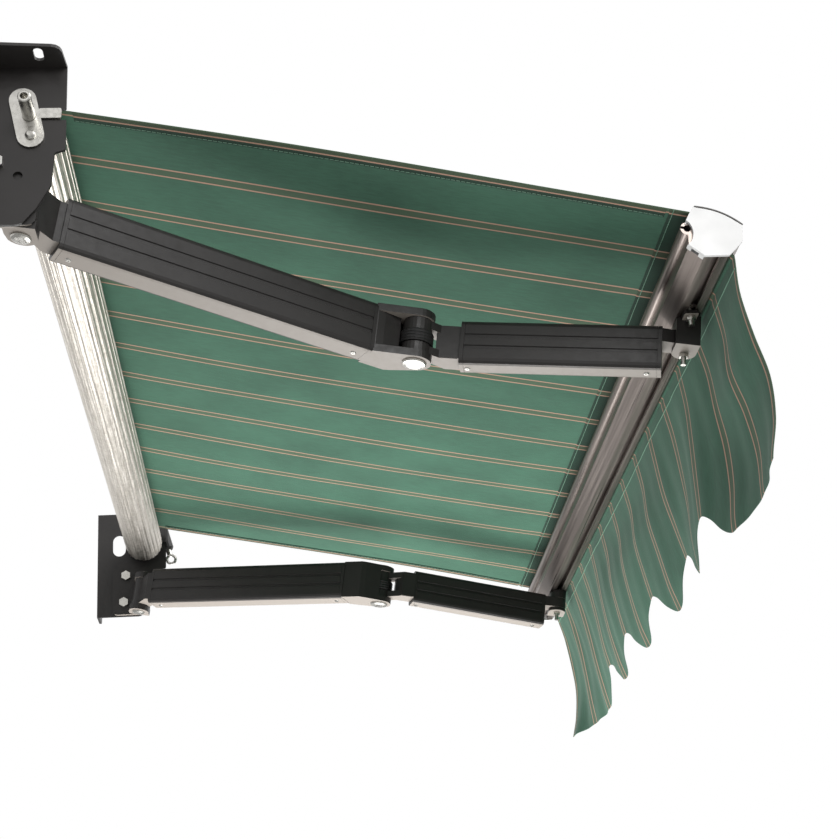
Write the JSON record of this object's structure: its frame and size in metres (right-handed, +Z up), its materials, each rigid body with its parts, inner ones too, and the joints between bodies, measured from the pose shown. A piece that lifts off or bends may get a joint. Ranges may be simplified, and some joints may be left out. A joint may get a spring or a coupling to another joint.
{
  "type": "retractable awning",
  "caption": "Folding arm awning with a striped cloth on a fluted roller, wall brackets, jointed arms, a front bar and a scalloped valance",
  "frame": {"origin": "middle of the back face of the left bracket's wall flange", "axes": "+X along the wall towards the geared end, +Y into the wall, +Z up; the awning opens towards -Y"},
  "size_m": [1.604, 0.9326, 0.5356],
  "materials": {
    "powder_coat": "dark anthracite powder coat on steel plate and cast aluminium, semi gloss",
    "coated_extrusion": "dark anthracite powder coat on extruded aluminium, satin",
    "zinc_plate": "bright zinc plated steel",
    "galvanised_tube": "galvanised roll formed steel tube",
    "anodised_bar": "satin anodised extrusion",
    "white_plastic": "moulded white nylon",
    "black_plastic": "moulded black nylon",
    "cable_jacket": "black jacket on steel cable",
    "spring_steel": "oiled spring wire",
    "awning_cloth": "woven acrylic cloth, green with narrow pale stripe pairs"
  },
  "bodies": {
    "base": {"left_bracket": "powder_coat", "right_bracket": "powder_coat", "bearing_plate": "zinc_plate", "gearbox": "black_plastic", "left_shoulder": "powder_coat", "right_shoulder": "powder_coat", "left_shoulder_pin": "zinc_plate", "right_shoulder_pin": "zinc_plate", "left_shoulder_bolt_upper": "zinc_plate", "right_shoulder_bolt_upper": "zinc_plate", "left_shoulder_bolt_lower": "zinc_plate", "right_shoulder_bolt_lower": "zinc_plate", "cloth": "awning_cloth"},
    "roller": {"roller_tube": "galvanised_tube", "roller_bearing_plug": "zinc_plate", "roller_drive_plug": "black_plastic"},
    "crank": {"crank_eye": "zinc_plate"},
    "left_rear": {"left_arm_root": "powder_coat", "left_rear_arm": "coated_extrusion", "left_elbow_fork": "powder_coat", "left_elbow_pin": "zinc_plate", "left_arm_spring": "spring_steel"},
    "left_fore": {"left_elbow_barrel": "powder_coat", "left_elbow_cable": "cable_jacket", "left_forearm": "coated_extrusion", "left_arm_tip": "powder_coat"},
    "right_rear": {"right_arm_root": "powder_coat", "right_rear_arm": "coated_extrusion", "right_elbow_fork": "powder_coat", "right_elbow_pin": "zinc_plate", "right_arm_spring": "spring_steel"},
    "right_fore": {"right_elbow_barrel": "powder_coat", "right_elbow_cable": "cable_jacket", "right_forearm": "coated_extrusion", "right_arm_tip": "powder_coat"},
    "bar": {"front_bar": "anodised_bar", "left_bar_cap": "white_plastic", "right_bar_cap": "white_plastic", "left_front_fork": "powder_coat", "right_front_fork": "powder_coat", "left_front_pin": "zinc_plate", "right_front_pin": "zinc_plate", "left_clamp_bolt": "zinc_plate", "right_clamp_bolt": "zinc_plate", "cloth_rod": "white_plastic", "valance": "awning_cloth", "valance_rod": "white_plastic"}
  },
  "joints": [
    {"name": "left_shoulder_fold", "type": "hinge", "parent": "base", "child": "left_rear", "pos_m": [0.053, -0.088, -0.0675], "axis": [0, -0.1616, 0.9869], "range_deg": [0, 58], "deforming": ["cloth"]},
    {"name": "left_elbow", "type": "hinge", "parent": "left_rear", "child": "left_fore", "pos_m": [0.266, -0.53878, -0.14132], "axis": [0, -0.1616, 0.9869], "range_deg": [-134.5, 0]},
    {"name": "left_front_pivot", "type": "hinge", "parent": "left_fore", "child": "bar", "pos_m": [0.225, -0.8639, -0.19456], "axis": [0, -0.1616, 0.9869], "range_deg": [0, 76.5]},
    {"name": "right_shoulder_fold", "type": "hinge", "parent": "base", "child": "right_rear", "pos_m": [1.497, -0.088, -0.0675], "axis": [0, -0.1616, 0.9869], "range_deg": [-58.1, 0]},
    {"name": "right_elbow", "type": "hinge", "parent": "right_rear", "child": "right_fore", "pos_m": [1.284, -0.53878, -0.14132], "axis": [0, -0.1616, 0.9869], "range_deg": [0, 134.5]},
    {"name": "roller_spin", "type": "hinge", "parent": "base", "child": "roller", "pos_m": [0.775, -0.092, 0.0345], "axis": [1, 0, 0], "range_deg": [-1115, 0]},
    {"name": "crank_turn", "type": "hinge", "parent": "base", "child": "crank", "pos_m": [1.5399, -0.136, 0.0345], "axis": [0, 0.2756, 0.9613], "range_deg": [0, 7800]}
  ],
  "couplings": [
    {"joint": "left_elbow", "follows": "left_shoulder_fold", "ratio": -2.314},
    {"joint": "left_front_pivot", "follows": "left_shoulder_fold", "ratio": 1.314},
    {"joint": "right_shoulder_fold", "follows": "left_shoulder_fold", "ratio": -1},
    {"joint": "right_elbow", "follows": "left_shoulder_fold", "ratio": 2.314},
    {"joint": "roller_spin", "follows": "left_shoulder_fold", "ratio": -19.2},
    {"joint": "crank_turn", "follows": "left_shoulder_fold", "ratio": 134.4}
  ]
}
